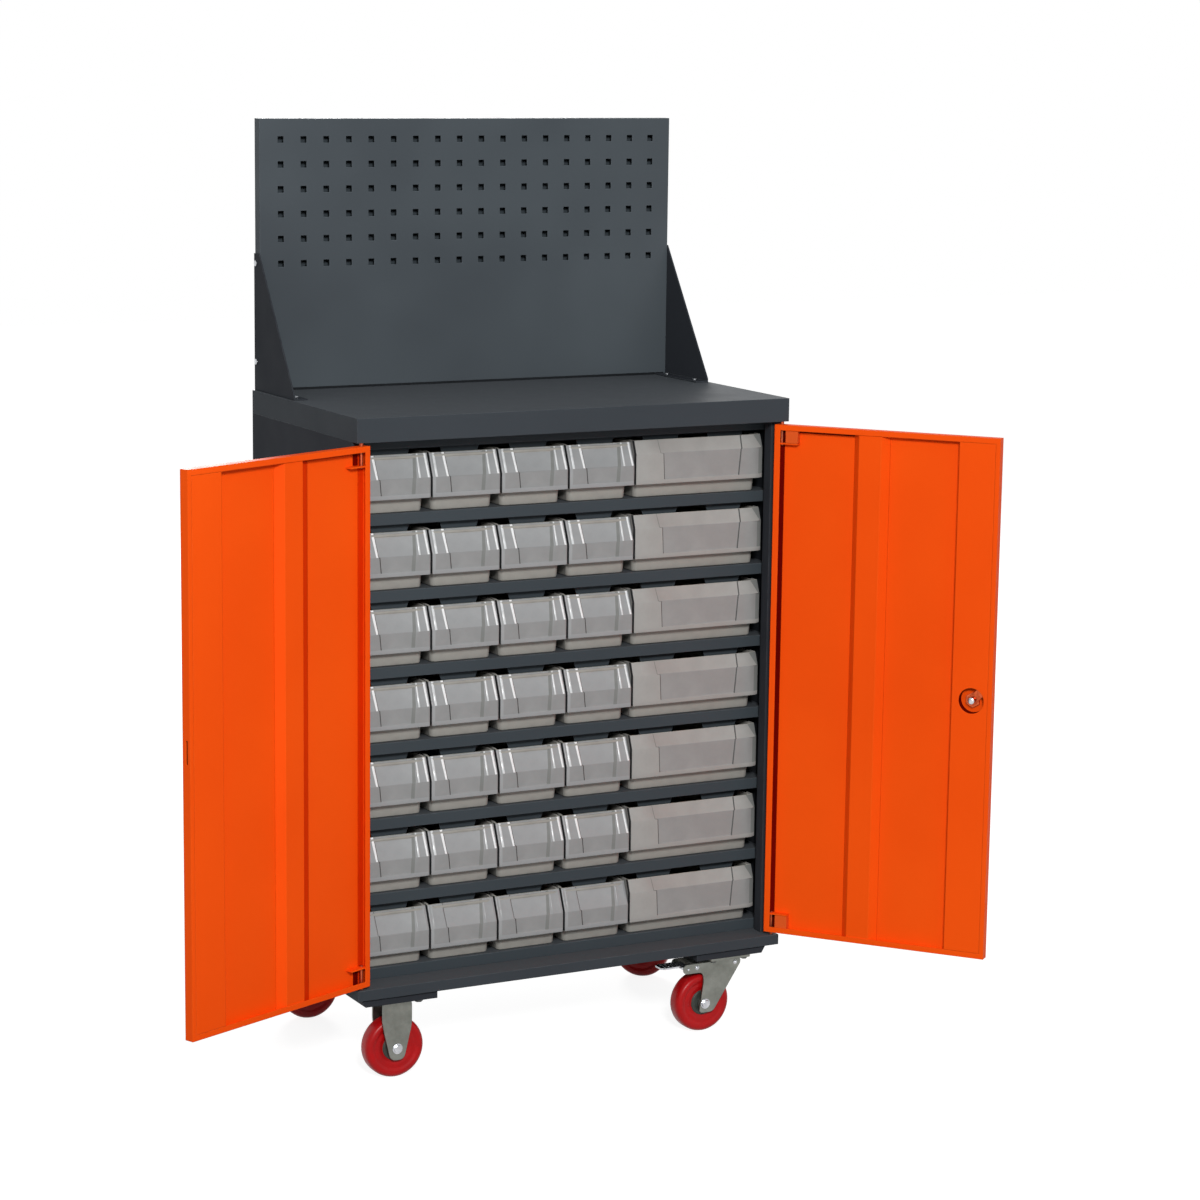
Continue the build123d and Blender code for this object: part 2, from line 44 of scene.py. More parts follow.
# Sizes shared with the solids, in millimetres and degrees
ROWS = 7
UNITS = 6                                # small bins' places across a row
UNIT = 114.1                             # the width of one place
SHELF_1 = 169.0                          # the top of the lowest shelf
PITCH = 115.3                            # from one shelf to the next
SEAT = 0.3                               # from a shelf to the bin on it
BIN_FRONT = -168.0                       # a bin's front face
FOOT_FRONT, FOOT_BACK = -150.0, 132.0    # a tray's foot
FOOT_STEP = 14.0                         # how much narrower than the bin its foot is
DRAFT = 3.4                              # how far a tray's walls lean out
AXLE_Z = 47.5
CASTER_Y = 164.0
FIXED_X = -290.0                         # the fixed casters' axles
SWIVEL_X = 281.0                         # the swivel casters' king pins
TRAIL = 36.0                             # from a king pin back to its axle
REAR_TURN = 135.0                        # how far the rear swivel caster is turned at rest
CROWN_TOP = 115.7                        # the top of a swivel fork
CHEEK_IN, CHEEK_OUT = 17.5, 20.5         # a fork's side, from the wheel's middle
MOUNT_LOW, MOUNT_TOP = 120.6, 124.4      # a swivel caster's plate
PEDAL_PIN_X, PEDAL_PIN_Z = SWIVEL_X - 68, 107.2
HALF_W = 364.0                           # from the middle to a door's hinge edge
DOOR_LOW, DOOR_HIGH = 157.5, 969.5
SKIN_IN = -201.5                         # the inner face of a closed door's skin
END_WALL = 1.8                           # from a door's end to the inside of its end wall
BRACKET_Z = 29.5                         # from a door's end to its pin bracket
PIN_X, PIN_Y = 355.3, -197.7
LEFT_OPEN, RIGHT_OPEN = 157.0, 128.5     # how far the doors are open at rest
LOCK_X, LOCK_Z = 34.0, 563.5             # the lock on the closed right door


# Node material helpers
class Nodes:
    """A material's node tree, with short names for the few nodes it needs."""

    def __init__(self, name):
        self.mat = bpy.data.materials.new(name)
        self.mat.use_nodes = True
        self.tree = self.mat.node_tree
        self.bsdf = self.tree.nodes["Principled BSDF"]
        self.coord = self.add("ShaderNodeTexCoord").outputs["Object"]

    def add(self, kind, **values):
        node = self.tree.nodes.new(kind)
        for key, value in values.items():
            setattr(node, key, value)
        return node

    def link(self, out, socket):
        self.tree.links.new(out, socket)

    def noise(self, scale, detail=4.0, rough=0.55):
        node = self.add("ShaderNodeTexNoise")
        node.inputs["Scale"].default_value = scale
        node.inputs["Detail"].default_value = detail
        node.inputs["Roughness"].default_value = rough
        self.link(self.coord, node.inputs["Vector"])
        return node.outputs["Fac"]

    def span(self, fac, low, high, to_low=0.0, to_high=1.0):
        """fac, with low to high stretched to the new range and held to it."""
        node = self.add("ShaderNodeMapRange")
        self.link(fac, node.inputs["Value"])
        ends = {"From Min": low, "From Max": high, "To Min": to_low, "To Max": to_high}
        for key, value in ends.items():
            node.inputs[key].default_value = value
        return node.outputs["Result"]

    def mix(self, fac, a, b):
        """A mix of two colours, each a tuple or an output."""
        node = self.add("ShaderNodeMix", data_type="RGBA")
        self.link(fac, node.inputs[0])
        for socket, value in ((node.inputs[6], a), (node.inputs[7], b)):
            if isinstance(value, tuple):
                socket.default_value = (*value, 1)
            else:
                self.link(value, socket)
        return node.outputs[2]

    def rounded(self, radius):
        """The normal, as if edges were rounded."""
        bevel = self.add("ShaderNodeBevel", samples=6)
        bevel.inputs["Radius"].default_value = radius
        return bevel.outputs["Normal"]

    def edge(self, rounded, gain):
        """1 along edges, from how far the rounded normal leaves the flat one."""
        geo = self.add("ShaderNodeNewGeometry")
        dot = self.add("ShaderNodeVectorMath", operation="DOT_PRODUCT")
        self.link(rounded, dot.inputs[0])
        self.link(geo.outputs["Normal"], dot.inputs[1])
        return self.span(dot.outputs["Value"], 1.0, 1.0 - gain)

    def bump(self, height, strength, distance, normal):
        node = self.add("ShaderNodeBump")
        node.inputs["Strength"].default_value = strength
        node.inputs["Distance"].default_value = distance
        self.link(height, node.inputs["Height"])
        self.link(normal, node.inputs["Normal"])
        self.link(node.outputs["Normal"], self.bsdf.inputs["Normal"])

    def set(self, **values):
        """Values that are the same all over, on the shader's own sockets."""
        names = {"rough": "Roughness", "metal": "Metallic", "spec": "Specular IOR Level"}
        for key, value in values.items():
            self.bsdf.inputs[names[key]].default_value = value


def linear(r, g, b):
    """A colour as it is seen on a screen, 0 to 255, as the linear light that Blender mixes."""
    def one(v):
        v = v / 255
        return v / 12.92 if v <= 0.04045 else ((v + 0.055) / 1.055) ** 2.4
    return (one(r), one(g), one(b))


def paint(name, colour, dark, light, rough, spec, facing_up=None):
    """Powder coat: orange peel, uneven tone, a paler tone on what faces up, and paler worn edges.
    """
    m = Nodes(name)
    tone = m.mix(m.span(m.noise(2.2, 3), 0.35, 0.65), linear(*dark), linear(*colour))
    # Paler on faces that point up, chosen by the surface's normal
    if facing_up:
        parts = m.add("ShaderNodeSeparateXYZ")
        m.link(m.add("ShaderNodeNewGeometry").outputs["Normal"], parts.inputs[0])
        tone = m.mix(m.span(parts.outputs["Z"], 0.7, 0.95), tone, linear(*facing_up))
    rounded = m.rounded(0.0016)
    broken = m.span(m.noise(60, 5, 0.7), 0.35, 0.7)
    worn = m.add("ShaderNodeMath", operation="MULTIPLY")
    m.link(m.edge(rounded, 0.12), worn.inputs[0])
    m.link(broken, worn.inputs[1])
    m.link(m.mix(worn.outputs[0], tone, linear(*light)), m.bsdf.inputs["Base Color"])
    gloss = m.span(m.noise(14, 4), 0.3, 0.7, rough - 0.05, rough + 0.06)
    m.link(gloss, m.bsdf.inputs["Roughness"])
    m.bump(m.noise(900, 2), 0.10, 0.0006, rounded)
    m.set(spec=spec)
    return m.mat


def metal(name, colour, dark, rough, scale=30.0):
    """Plated metal with a patchy finish. scale sets how fine its patches are."""
    m = Nodes(name)
    patches = m.span(m.noise(scale, 6, 0.65), 0.3, 0.7)
    m.link(m.mix(patches, linear(*dark), linear(*colour)), m.bsdf.inputs["Base Color"])
    gloss = m.span(m.noise(scale * 3, 4, 0.6), 0.3, 0.7, rough - 0.07, rough + 0.1)
    m.link(gloss, m.bsdf.inputs["Roughness"])
    m.bump(m.noise(scale * 12, 3, 0.6), 0.12, 0.0004, m.rounded(0.0008))
    m.set(metal=1.0)
    return m.mat


def plastic(name, colour, dark, rough, spec=0.5, bump=0.08, scale=40.0):
    """Moulded plastic or rubber, faintly blotched and grained."""
    m = Nodes(name)
    blotch = m.span(m.noise(scale, 4, 0.6), 0.3, 0.7)
    m.link(m.mix(blotch, linear(*dark), linear(*colour)), m.bsdf.inputs["Base Color"])
    gloss = m.span(m.noise(scale * 2, 3), 0.3, 0.7, rough - 0.04, rough + 0.06)
    m.link(gloss, m.bsdf.inputs["Roughness"])
    m.bump(m.noise(scale * 25, 2), bump, 0.0004, m.rounded(0.0007))
    m.set(spec=spec)
    return m.mat


# Painted sheet: name, colour, darker tone, worn edge, roughness
SLATE = paint("slate_powder_coat", (63, 70, 75), (58, 65, 70), (92, 100, 106), 0.5,
              spec=0.07, facing_up=(82, 86, 90))
SLATE_BOARD = paint("slate_board", (79, 86, 91), (68, 74, 79), (104, 112, 118), 0.5, spec=0.07)
# A darker copy of the slate paint: painted shade on the side panels, gussets and caster channels
SLATE_SIDE_SHADE = paint("slate_side_painted_shade", (53, 56, 61), (48, 51, 56), (80, 85, 90), 0.55, spec=0.02)
SLATE_TOP = paint("slate_worktop", (63, 68, 73), (58, 63, 68), (90, 95, 100), 0.45,
                  spec=0.02, facing_up=(80, 84, 88))
ORANGE = paint("orange_enamel", (248, 86, 14), (240, 79, 11), (252, 100, 28), 0.46, spec=0.05)
# A duller orange: painted shade on the brackets' webs
ORANGE_WEB_SHADE = paint("orange_web_shade", (226, 92, 36), (208, 78, 28), (235, 110, 50), 0.5, spec=0.06)
# Dark reds for the plates and strips of painted shade in the doors' hollows, grooves and lock hole;
# the softer one is for the left door
GROOVE = paint("orange_groove_shade", (112, 8, 0), (90, 4, 0), (140, 20, 4), 0.6, spec=0.02)
SOFT_GROOVE_SHADE = paint("orange_groove_soft_shade", (212, 52, 2), (196, 44, 0), (230, 70, 14), 0.5, spec=0.03)

# Metal: name, colour, darker patches, roughness
ZINC = metal("zinc_plate", (132, 134, 128), (104, 106, 100), 0.42)
BRIGHT = metal("bright_bolt", (206, 208, 212), (160, 164, 168), 0.22, scale=90)
# The lock's chrome coloured orange: a painted reflection of the orange door around it
CHROME_REFLECTION = metal("chrome_painted_orange_reflection", (226, 104, 62), (120, 44, 22), 0.22, scale=70)
PIN = metal("hinge_pin", (206, 96, 58), (150, 84, 62), 0.45, scale=120)
DARK_BOLT = metal("dark_bolt", (88, 90, 88), (58, 60, 59), 0.4, scale=90)

# Plastic and rubber: name, colour, darker blotches, roughness
BIN = plastic("bin_polymer", (151, 153, 154), (144, 146, 147), 0.36, spec=0.3, bump=0.06)
# Darker copies for the upright lower part of the fronts, small and wide: painted shade
BIN_LOW_SHADE = plastic("bin_polymer_low_shade", (143, 144, 144), (136, 137, 137), 0.38, spec=0.25, bump=0.06)
BIN_WIDE = plastic("bin_wide_polymer", (158, 157, 154), (151, 150, 147), 0.38, spec=0.25, bump=0.06)
BIN_WIDE_LOW_SHADE = plastic("bin_wide_polymer_low_shade", (148, 148, 147), (141, 141, 140), 0.4,
                       spec=0.25, bump=0.06)
# Painted highlights: the bright strips where a front's ridges catch the light, full and soft
BIN_HIGHLIGHT = plastic("bin_painted_highlight", (240, 242, 243), (222, 224, 224), 0.2, bump=0.03)
BIN_SOFT_HIGHLIGHT = plastic("bin_soft_painted_highlight", (212, 215, 216), (196, 199, 200), 0.28, bump=0.04)
BIN_GAP_SHADE = plastic("bin_gap_shade", (46, 48, 50), (38, 40, 42), 0.55, spec=0.1)
BIN_SHADE = plastic("bin_shaded_facet", (126, 128, 126), (118, 120, 118), 0.42, spec=0.2)
# Painted shade in the grooves and along the recess walls of a front
BIN_GROOVE_SHADE = plastic("bin_groove_shade", (84, 85, 84), (74, 75, 74), 0.5, spec=0.1)
# A painted highlight along the top edge of a front
BIN_RIM_HIGHLIGHT = plastic("bin_rim_painted_highlight", (200, 198, 184), (184, 182, 168), 0.3)
BIN_FOOT = plastic("bin_base_polymer", (160, 158, 152), (150, 148, 142), 0.42, spec=0.25)
RED = plastic("red_tread", (186, 14, 18), (160, 10, 14), 0.34, spec=0.22, bump=0.05, scale=25)
# A dark strip of painted shade for the joint under the panel
JOINT_SHADE = plastic("dark_joint_shade", (28, 31, 34), (22, 24, 27), 0.6, spec=0.1)
HUB = plastic("dark_hub", (62, 66, 60), (46, 50, 46), 0.4, spec=0.3)


# Mesh helpers: from here to the floor, sizes are in millimetres
TIP = 0.01    # the radius at which a lathed end closes


def place(name, mesh, body, node=None, bevel=0.0, sharp=35.0, matrix=None):
    """Puts a mesh in the scene as a piece that rides on a body and may stand for a node."""
    mesh.shade_smooth()
    mesh.set_sharp_from_angle(angle=radians(sharp))
    obj = bpy.data.objects.new(name, mesh)
    bpy.context.scene.collection.objects.link(obj)
    if matrix is not None:
        obj.matrix_world = matrix
    if bevel:
        mod = obj.modifiers.new("edges", "BEVEL")
        mod.width = bevel * MM
        mod.segments = 2
        mod.limit_method = "ANGLE"
        mod.angle_limit = radians(40)
        mod.harden_normals = True
    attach(obj, body)
    if node:
        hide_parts(node)


class Build:
    """Collects rings and plates into one mesh. index is a place in its list of materials."""

    def __init__(self):
        self.verts, self.faces, self.index = [], [], []

    def strips(self, rings, index=0, closed=True, pick=None):
        """Joins rings of equal length. pick may give a face's index, from its ring and step."""
        base, n = len(self.verts), len(rings[0])
        for ring in rings:
            self.verts += [tuple(v) for v in ring]
        for r in range(len(rings) - 1):
            for k in range(n if closed else n - 1):
                a, b = base + r * n + k, base + r * n + (k + 1) % n
                self.faces.append((a, b, b + n, a + n))
                self.index.append(pick(r, k) if pick else index)

    def cap(self, ring, index=0, flip=False):
        base = len(self.verts)
        self.verts += [tuple(v) for v in ring]
        order = range(base, base + len(ring))
        self.faces.append(tuple(reversed(order)) if flip else tuple(order))
        self.index.append(index)

    def plate(self, outline, axis, low, high):
        """A flat outline of (a, b) pairs made thick along axis 0, 1 or 2."""
        def at(p, t):
            v = list(p)
            v.insert(axis, t)
            return v
        a, b = [at(p, low) for p in outline], [at(p, high) for p in outline]
        self.strips([a, b])
        self.cap(a, flip=True)
        self.cap(b)

    def lathe(self, profile, centre, direction, steps=48, pick=None, index=0):
        """Turns (radius, height) pairs about a direction through centre."""
        d = Vector(direction).normalized()
        u = d.orthogonal().normalized()
        w = d.cross(u)
        rings = []
        for radius, height in profile:
            rings.append([Vector(centre) + d * height + (u * cos(t) + w * sin(t)) * radius
                          for t in (2 * pi * k / steps for k in range(steps))])
        self.strips(rings, index, pick=(lambda r, k: pick(r)) if pick else None)

    def turn(self, x, y, degrees):
        """Turns what is built so far about the upright line through x, y."""
        there, back = Matrix.Translation((x, y, 0)), Matrix.Translation((-x, -y, 0))
        spin = there @ Matrix.Rotation(radians(degrees), 4, "Z") @ back
        self.verts = [tuple(spin @ Vector(v)) for v in self.verts]

    def mesh(self, name, materials):
        mesh = bpy.data.meshes.new(name)
        mesh.from_pydata([tuple(c * MM for c in v) for v in self.verts], [], self.faces)
        for material in materials:
            mesh.materials.append(material)
        mesh.polygons.foreach_set("material_index", self.index)
        mesh.update()
        return mesh

    def done(self, name, materials, body, node=None, **options):
        place(name, self.mesh(name, materials), body, node, **options)


def rect(a0, a1, b0, b1):
    """The outline of a rectangle."""
    return [(a0, b0), (a1, b0), (a1, b1), (a0, b1)]


def rounded(points, radius, steps=4):
    """An outline with its corners rounded."""
    out = []
    n = len(points)
    for i, p in enumerate(points):
        p = Vector(p)
        a, b = Vector(points[i - 1]) - p, Vector(points[(i + 1) % n]) - p
        cut = min(radius, a.length * 0.45, b.length * 0.45)
        p0, p1 = p + a.normalized() * cut, p + b.normalized() * cut
        for k in range(steps + 1):
            t = k / steps
            out.append(tuple(p0 * (1 - t) ** 2 + p * 2 * t * (1 - t) + p1 * t ** 2))
    return out


def climb(value, low, high, at_low, at_high):
    """A value between at_low and at_high, as value goes from low to high."""
    share = min(1.0, max(0.0, (value - low) / (high - low)))
    return at_low + (at_high - at_low) * share


# Bins
BODY_GAP, FRONT_GAP = 2.0, 3.0           # between neighbours, and between their fronts
FRONT_LOW = 22.0                         # the lower edge of a front
FRONT_FLOOR = 24.2                       # the floor just behind a front
LINE_FOOT = 29.5                         # where the creased face of a front starts
WALL = 2.2
END_ROUND, END_SOFT = 1.4, 0.45          # how a front's ends are rounded
GAP_DEPTH = 8.0                          # the dark band between two fronts
END_Y = -141.0                           # how far back a front's ends reach
BACK_RADIUS, FRONT_RADIUS = 9, 8         # a tray's corners, seen from above
LEAST_RADIUS = 0.8
CORNER_STEPS = 5
RIM_LOW, RIM_EAR, RIM_BACK = 84.5, 88.0, 80.0
EAR_RISE, EAR_MIDDLE, EAR_FALL = (-152, -146), -130, (-116, -94)    # where along a side, in y
SIDE_STEPS = (60, 0, -60, -94, -105, -116, -132, -143)    # points that let the rim follow the ear
SMALL_SHAPE = {"crease": 52.0, "lean": 15.0, "height": 87.0}
WIDE_SHAPE = {"crease": 69.0, "lean": 8.0, "height": 89.5}
# Places in a bin's materials: the second and the last are painted highlights, the sixth a painted
# highlight on the top edge, and the fourth, fifth, seventh and eighth are painted shade
FACE, PAINTED_HIGHLIGHT, TRAY, LINE, SHADE, RIM, LOWER_SHADE, GAP, SOFT = range(9)

# A tray's rings, from its foot up the outside and down inside. Each is the height its draft is
# taken at, its offset outwards and, where it follows the rim, how far it is under it.
TRAY_RINGS = [
    (0, -2.5, None), (0.8, -0.8, None), (2.5, 0, None), (40, 0, None),
    (76, 0, 4.2), (76, 0.9, 3.6), (80, 0.9, 0.7), (80, 0.2, 0), (80, -1.6, 0), (80, -WALL, 0.6),
    (40, -WALL, None), (5, -2.4, None), (2.6, -4, None)]

# Lines down a front, each as its place at the foot, under the crease, over it and at the top edge,
# then how deep the face is sunk there under and over the crease. Negative is proud.
SMALL_LINES = [
    (5.3, 5.3, 5.3, 5.3, 0.0, 0.5),
    (7.0, 7.0, 7.0, 7.0, 0.0, -0.5),
    (8.8, 8.8, 8.8, 8.8, 0.0, 0.0),
    (23.4, 23.4, 23.4, 20.6, 0.0, 0.0),
    (25.0, 25.0, 25.0, 23.0, 0.0, -0.4),
    (26.8, 26.6, 26.6, 25.0, 0.0, 0.2),
    (30.2, 28.0, 28.0, 26.4, 0.0, 1.7),
    (32.2, 30.0, 29.0, 27.2, 1.1, 1.7),
    (80.5, 82.0, 83.0, 88.5, 1.1, 1.7),
    (86.0, 87.5, 88.0, 92.4, 0.0, 0.0),
    (92.0, 92.2, 92.3, 93.3, 0.0, 0.2),
    (93.6, 93.6, 93.6, 94.4, 0.0, -0.5),
    (95.0, 95.0, 95.0, 95.6, 0.0, 0.0),
    (106.6, 106.6, 106.6, 105.0, 0.0, 0.0),
    (108.0, 108.0, 108.0, 106.8, 0.0, -0.5),
    (109.6, 109.6, 109.6, 108.7, 0.0, 0.3)]
WIDE_LINES = [
    (49.0, 47.0, 42.0, 40.0, 0.0, 0.0),
    (50.6, 48.6, 43.4, 41.2, 1.0, 0.7),
    (180.6, 184.4, 185.4, 186.4, 1.0, 0.7),
    (182.4, 186.0, 187.2, 188.4, 0.0, 0.0),
    (207.0, 207.0, 219.0, 197.0, 0.0, 0.0),
    (217.0, 217.0, 222.4, 211.0, 1.0, 1.0)]


def rim_height(y):
    """The rim is low at the front, climbs to an ear behind it and falls to the back's level."""
    if y < EAR_MIDDLE:
        return climb(y, *EAR_RISE, RIM_LOW, RIM_EAR)
    return climb(y, *EAR_FALL, RIM_EAR, RIM_BACK)


def tray_ring(foot_w, z, grow, under_rim):
    """One closed loop of the drafted tray: grow is its offset outwards."""
    lean = z * tan(radians(DRAFT))
    half = foot_w / 2 + lean + grow
    front, back = FOOT_FRONT - lean - grow, FOOT_BACK + lean + grow
    corners = ((half, back, BACK_RADIUS, 0), (-half, back, BACK_RADIUS, 90),
               (-half, front, FRONT_RADIUS, 180), (half, front, FRONT_RADIUS, 270))
    ring = []
    for x, y, radius, start in corners:
        radius = max(radius + grow, LEAST_RADIUS)
        cx, cy = x - radius * (1 if x > 0 else -1), y - radius * (1 if y > 0 else -1)
        for k in range(CORNER_STEPS + 1):
            t = radians(start + k * 90 / CORNER_STEPS)
            ring.append((cx + radius * cos(t), cy + radius * sin(t)))
        if start == 90:
            ring += [(-half, s) for s in SIDE_STEPS]
        if start == 270:
            ring += [(half, s) for s in reversed(SIDE_STEPS)]
    return [(x, y, z if under_rim is None else rim_height(y) - under_rim) for x, y in ring]


def tray(b, foot_w):
    """The drafted tray behind a front, with its rolled rim."""
    rings = [tray_ring(foot_w, *ring) for ring in TRAY_RINGS]
    b.strips(rings, TRAY)
    b.cap(rings[0], TRAY, flip=True)
    b.cap(rings[-1], TRAY)


def small_finish(bright):
    """Gives a small front's facet its material, by its line and whether it is over the crease; with
    bright, strips over the crease get painted highlights.
    """
    shiny, soft, shaded = (3, 4, 13, 14), (0, 1, 10, 11), 8

    def finish(line, over):
        if over and bright and line in shiny + soft:
            return PAINTED_HIGHLIGHT if line in shiny else SOFT
        if line == (5 if over else 6):
            return LINE
        return SHADE if line == shaded else (FACE if over else LOWER_SHADE)
    return finish


def wide_finish(line, over):
    """The same for a wide front."""
    if line == 0 or line == 2:
        return LINE if line == 2 or not over else SHADE
    return SHADE if line >= 5 else (FACE if over else LOWER_SHADE)


def front(b, width, shape, lines, flank, finish):
    """A bin's front plate: rows that climb the outside, turn over the top and come down inside."""
    half, limit = width / 2, width / 2 - (FRONT_GAP - BODY_GAP) / 2
    crease, top = shape["crease"], shape["height"]
    # An end, as distances in from the side and back from the face. None is as far back as END_Y.
    end = [(0.0, None), (0.0, GAP_DEPTH), (0.0, END_ROUND), (END_SOFT, END_SOFT), (END_ROUND, 0.0)]
    ends_left = [(aside - limit, back) for aside, back in end]
    ends_right = [(limit - aside, back) for aside, back in reversed(end)]

    def face_y(z):
        return BIN_FRONT + climb(z, crease, top, 0.0, shape["lean"])

    def row(z, inset=0.0, sunk=0.0, base_y=None):
        """The points across the front at one height. sunk is the share of the lines' depth."""
        over = z > crease
        base = (face_y(z) if base_y is None else base_y) + inset
        ring = [(x, END_Y if back is None else base + back, z) for x, back in ends_left]
        for foot, low, high, tip, under_depth, over_depth in lines:
            if over:
                across, depth = climb(z, crease, top, high, tip), over_depth
            else:
                across, depth = climb(z, LINE_FOOT, crease, foot, low), under_depth
            ring.append((across - half, base + sunk * depth, z))
        right = base + (flank if base_y is None else 0.0)
        ring += [(x, END_Y if back is None else right + back, z) for x, back in ends_right]
        keep = limit - inset
        return [(max(-keep, min(keep, x)), y, z) for x, y, z in ring]

    under = FOOT_FRONT + 1
    below = [row(FRONT_LOW, 0, 0, under), row(FRONT_LOW, 0.4)]
    outside = [row(FRONT_LOW + 1.2), row(LINE_FOOT - 1.0), row(LINE_FOOT, 0, 1),
               row(crease - 0.5, 0, 1), row(crease + 0.5, 0, 1), row((crease + top) / 2, 0, 1),
               row(top - 2.4, 0, 1), row(top - 0.9, 0, 0.8)]
    over_edge = [row(top - 0.2, 0.35), row(top, 1.1), row(top - 0.5, 2.1)]
    inside = [row(crease, WALL), row(FRONT_FLOOR + 0.2, WALL), row(FRONT_FLOOR, WALL, 0, under)]
    # The rows over which the lines start, the crease lies and the outside ends
    foot_row, crease_row = len(below) + 1, len(below) + 3
    edge_row = len(below) + len(outside) - 1

    def pick(r, k):
        """The material of the face from row r to the next, counted along the row from k."""
        line = k - len(end)
        if r == edge_row + 1:
            return RIM
        if foot_row <= r <= edge_row and 0 <= line < len(lines) + 3:
            return finish(line, r > crease_row)
        # The band of painted shade: all the way up a front's left end, and only under the lines at
        # its right
        if r <= edge_row and line in (-4, len(lines) + 2):
            return GAP
        return FACE

    b.strips(below + outside + over_edge + inside, closed=False, pick=pick)


def bin_mesh(name, units, shape, lines, flank, finish, face, lower):
    """A bin over some places. flank is how far back its right end stands."""
    b = Build()
    width = units * UNIT - BODY_GAP
    tray(b, width - FOOT_STEP)
    front(b, width, shape, lines, flank, finish)
    return b.mesh(name, (face, BIN_HIGHLIGHT, BIN_FOOT, BIN_GROOVE_SHADE, BIN_SHADE, BIN_RIM_HIGHLIGHT, lower,
                         BIN_GAP_SHADE, BIN_SOFT_HIGHLIGHT))


SMALL = bin_mesh("small_bin", 1, SMALL_SHAPE, SMALL_LINES, 0.4, small_finish(True), BIN, BIN_LOW_SHADE)
SMALL_DULL = bin_mesh("small_bin_low", 1, SMALL_SHAPE, SMALL_LINES, 0.4, small_finish(False),
                      BIN, BIN_LOW_SHADE)
WIDE = bin_mesh("wide_bin", 2, WIDE_SHAPE, WIDE_LINES, 3.5, wide_finish, BIN_WIDE, BIN_WIDE_LOW_SHADE)
for r in range(ROWS):
    for c in range(UNITS - 1):
        wide = c == UNITS - 2
        mesh = WIDE if wide else (SMALL_DULL if r == ROWS - 1 else SMALL)
        x = (c - UNITS / 2 + (1 if wide else 0.5)) * UNIT
        z = SHELF_1 + (ROWS - 1 - r) * PITCH + SEAT
        place(f"bin_tray_{r + 1}_{c + 1}", mesh, f"drawer_{r + 1}_{c + 1}", f"bin_{r + 1}_{c + 1}",
              sharp=28, matrix=Matrix.Translation((x * MM, 0, z * MM)))


# Wheels: (radius, place along the axle), from the hub's side out to the middle of the tread
WHEEL_HALF = [
    (4.1, -17.2), (9.0, -17.2), (10.0, -16.2), (10.4, -12.5), (14.5, -12.0), (18.6, -12.6),
    (19.6, -12.0), (20.4, -10.6), (22.0, -10.8), (25.5, -12.4), (29.0, -13.0), (32.0, -12.6),
    (33.5, -12.8), (36.0, -14.2), (39.0, -15.0), (42.0, -14.7), (44.6, -13.2), (46.4, -10.6),
    (47.3, -7.4), (47.5, -3.5)]
WHEEL = WHEEL_HALF + [(r, -h) for r, h in reversed(WHEEL_HALF)]
HUB_ROWS = 7                             # the first rows of each half are the hub
REAR_SPIN = (SWIVEL_X, CASTER_Y, REAR_TURN)


def wheel(name, x, y, body, node, turn=None):
    b = Build()
    last = len(WHEEL) - 2
    b.lathe(WHEEL, (x, y, AXLE_Z), (0, 1, 0), 72, lambda r: 1 if min(r, last - r) < HUB_ROWS else 0)
    if turn:
        b.turn(*turn)
    b.done(name, (RED, HUB), body, node, sharp=50)


wheel("tyre_front_left", FIXED_X, -CASTER_Y, "front_left_wheel", "wheel_front_left")
wheel("tyre_rear_left", FIXED_X, CASTER_Y, "rear_left_wheel", "wheel_rear_left")
wheel("tyre_front_right", SWIVEL_X - TRAIL, -CASTER_Y, "front_right_wheel", "wheel_front_right")
wheel("tyre_rear_right", SWIVEL_X - TRAIL, CASTER_Y, "rear_right_wheel", "wheel_rear_right",
      REAR_SPIN)


# Casters. A leg's outline is (x from its axle or king pin, z), the crown's and the pedal's are
# (x, y) from the king pin and the pedal's pin, a stud's place is (x from the king pin, z), and the
# lathed ones are (radius, height). A cut is how far a corner is rounded.
WASHER = 0.8
AXLE_R, AXLE_HEAD_R, AXLE_HEAD = 3.9, 6.2, 4.0
BRIDGE_X, BRIDGE_Y, BRIDGE_LOW = 24, 19, 121.5            # the top of a fixed fork, half its size
MOUNT_X, MOUNT_Y = 36, 38                                 # a swivel caster's plate, half its size
MOUNT_BOLT_X, MOUNT_BOLT_Y, MOUNT_BOLT_R, MOUNT_BOLT = 28, 29, 5.0, 4.0
NUT_X, NUT_Y, NUT_R, NUT = 32, 26, 6.2, 5.0               # beside a fixed fork
CROWN_SHEET = 3                                           # the sheet of a swivel fork's top
STUDS, STUD_R, STUD = ((-52, 108.5), (17, 109.5)), 2.6, 2.2
FIXED_CUT, SWIVEL_CUT, CROWN_CUT, MOUNT_CUT = 9, 7, 6, 5
PEDAL_PIN_R, PEDAL_PIN_HALF = 2.0, 21.5
PEDAL_LOW, PEDAL_TOP = 109.3, 112.1
RIDGES, RIDGE_FROM, RIDGE_STEP, RIDGE_W, RIDGE_Y = 4, 16, 7, 2, 10
RIDGE_SUNK, RIDGE_PROUD = 0.2, 0.8
FIXED_LEG = [(-24, 123), (24, 123), (24, 84), (11, 29.5), (-11, 29.5), (-24, 84)]
BEARING = [(TIP, 120.6), (26.5, 120.6), (27, 119.5), (26.4, 117.0), (24.5, 116.1), (TIP, 116.1)]
KING_NUT = [(TIP, 116.1), (6, 116.1), (6, 112.3), (9.5, 112.3), (9.8, 108.2), (8.5, 107.5),
            (TIP, 107.5)]
SWIVEL_LEG = [(-76, 115.0), (27, 115.0), (27, 108), (14 - TRAIL, 33.1), (-11 - TRAIL, 33.1),
              (-3 - TRAIL, 86), (-6 - TRAIL, 99.7), (-76, 99.7)]
